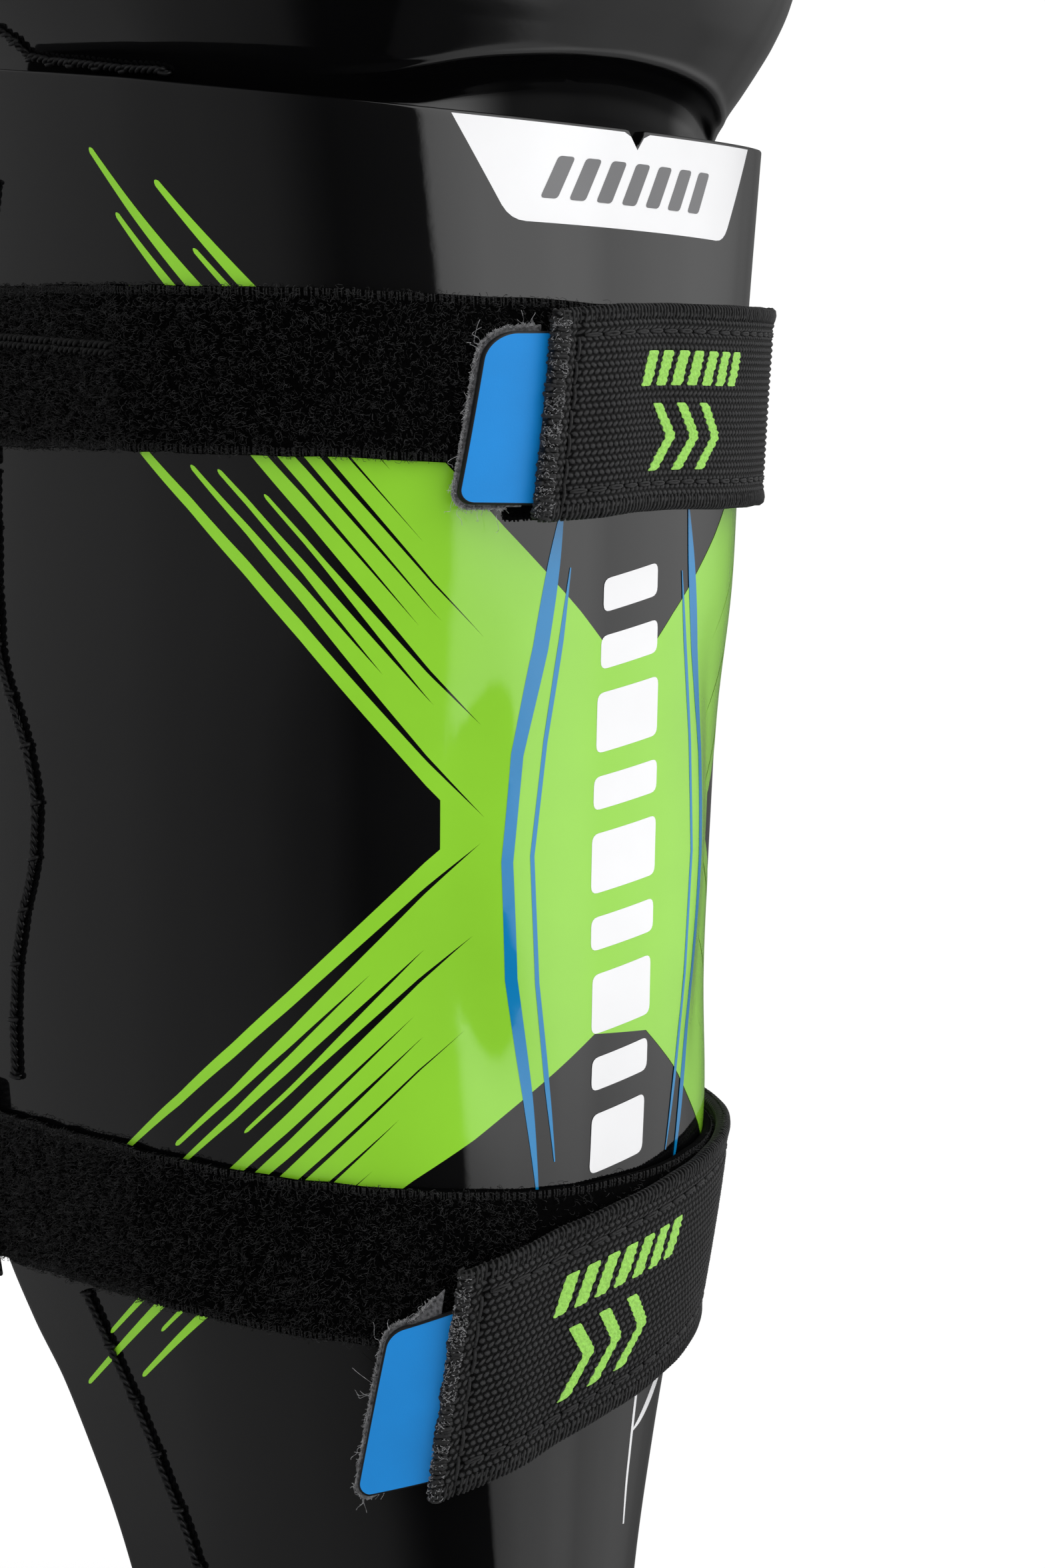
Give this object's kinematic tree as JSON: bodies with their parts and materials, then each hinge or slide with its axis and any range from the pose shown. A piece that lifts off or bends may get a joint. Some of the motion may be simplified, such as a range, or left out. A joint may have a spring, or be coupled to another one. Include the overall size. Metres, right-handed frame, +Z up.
{
  "type": "ice hockey shin guard",
  "caption": "Shin and knee guard with glossy moulded shell, tilting knee cap and thigh guard, foam liner, and wrap-round elastic straps with hook pull tabs.",
  "frame": {"origin": "on the guard's plane of symmetry, level with the lowest point of the shell, on the upright line the leg's axis follows", "axes": "+Z up the leg, -Y out of the shin's front, -X towards the outer side of the right leg"},
  "size_m": [0.1352, 0.1206, 0.433],
  "materials": {
    "shell_plastic": "high gloss moulded black",
    "graphic_green": "gloss in-mould lime film",
    "graphic_blue": "gloss in-mould blue film",
    "graphic_white": "gloss in-mould white film",
    "loop_pile": "brushed loop pile",
    "elastic": "woven elastic webbing",
    "tab_rubber": "satin moulded rubber",
    "hook_felt": "hook tape",
    "thread": "waxed twisted thread",
    "liner_fabric": "brushed knit",
    "binding": "woven edge binding",
    "foam": "closed cell foam"
  },
  "bodies": {
    "root": {"shin_shell": "shell_plastic", "shin_foam": "foam", "comfort_liner": "liner_fabric", "liner_binding": "binding", "knee_gusset": "liner_fabric", "upper_loop_tape": "loop_pile", "lower_loop_tape": "loop_pile", "upper_strap_anchor": "elastic", "lower_strap_anchor": "elastic", "lateral_shell_seam": "thread", "medial_shell_seam": "thread", "tape_stitching": "thread"},
    "knee": {"knee_cap": "shell_plastic", "knee_foam": "foam", "knee_liner": "liner_fabric", "knee_seam": "thread", "thigh_gusset": "liner_fabric"},
    "thigh_guard": {"thigh_plate": "shell_plastic", "thigh_pad": "liner_fabric"},
    "upper_strap_back": {"upper_strap_rear": "elastic"},
    "upper_strap_wrap": {"upper_strap_front": "elastic"},
    "upper_pull_tab": {"upper_tab": "tab_rubber", "upper_hook_patch": "hook_felt"},
    "lower_strap_back": {"lower_strap_rear": "elastic"},
    "lower_strap_wrap": {"lower_strap_front": "elastic"},
    "lower_pull_tab": {"lower_tab": "tab_rubber", "lower_hook_patch": "hook_felt"}
  },
  "joints": [
    {"name": "knee_flex", "type": "hinge", "parent": "root", "child": "knee", "pos_m": [0, 0.028, 0.256], "axis": [-1, 0, 0], "range_deg": [0, 35]},
    {"name": "thigh_flex", "type": "hinge", "parent": "knee", "child": "thigh_guard", "pos_m": [0, -0.03, 0.347], "axis": [-1, 0, 0], "range_deg": [0, 25]},
    {"name": "upper_strap_back_swing", "type": "hinge", "parent": "root", "child": "upper_strap_back", "pos_m": [-0.05617, 0.04225, 0.2138], "axis": [-0.0914, 0, 0.9958], "range_deg": [0, 13.5]},
    {"name": "upper_strap_swing", "type": "hinge", "parent": "upper_strap_back", "child": "upper_strap_wrap", "pos_m": [0.05972, 0.013, 0.2136], "axis": [0.0967, 0, 0.9953], "range_deg": [0, 110]},
    {"name": "upper_tab_peel", "type": "hinge", "parent": "upper_strap_wrap", "child": "upper_pull_tab", "pos_m": [-0.0218, -0.05302, 0.2082], "axis": [0.0955, -0.0123, 0.9954], "range_deg": [0, 60]},
    {"name": "lower_strap_back_swing", "type": "hinge", "parent": "root", "child": "lower_strap_back", "pos_m": [-0.04714, 0.04225, 0.0844], "axis": [-0.1909, 0, 0.9816], "range_deg": [0, 13.5]},
    {"name": "lower_strap_swing", "type": "hinge", "parent": "lower_strap_back", "child": "lower_strap_wrap", "pos_m": [0.0509, 0.013, 0.0884], "axis": [0.1897, 0, 0.9818], "range_deg": [0, 110]},
    {"name": "lower_tab_peel", "type": "hinge", "parent": "lower_strap_wrap", "child": "lower_pull_tab", "pos_m": [-0.02854, -0.0454, 0.0639], "axis": [-0.0277, -0.1592, 0.9869], "range_deg": [0, 60]}
  ],
  "couplings": [
    {"joint": "upper_strap_back_swing", "follows": "upper_strap_swing", "ratio": 0.12},
    {"joint": "lower_strap_back_swing", "follows": "lower_strap_swing", "ratio": 0.12}
  ]
}
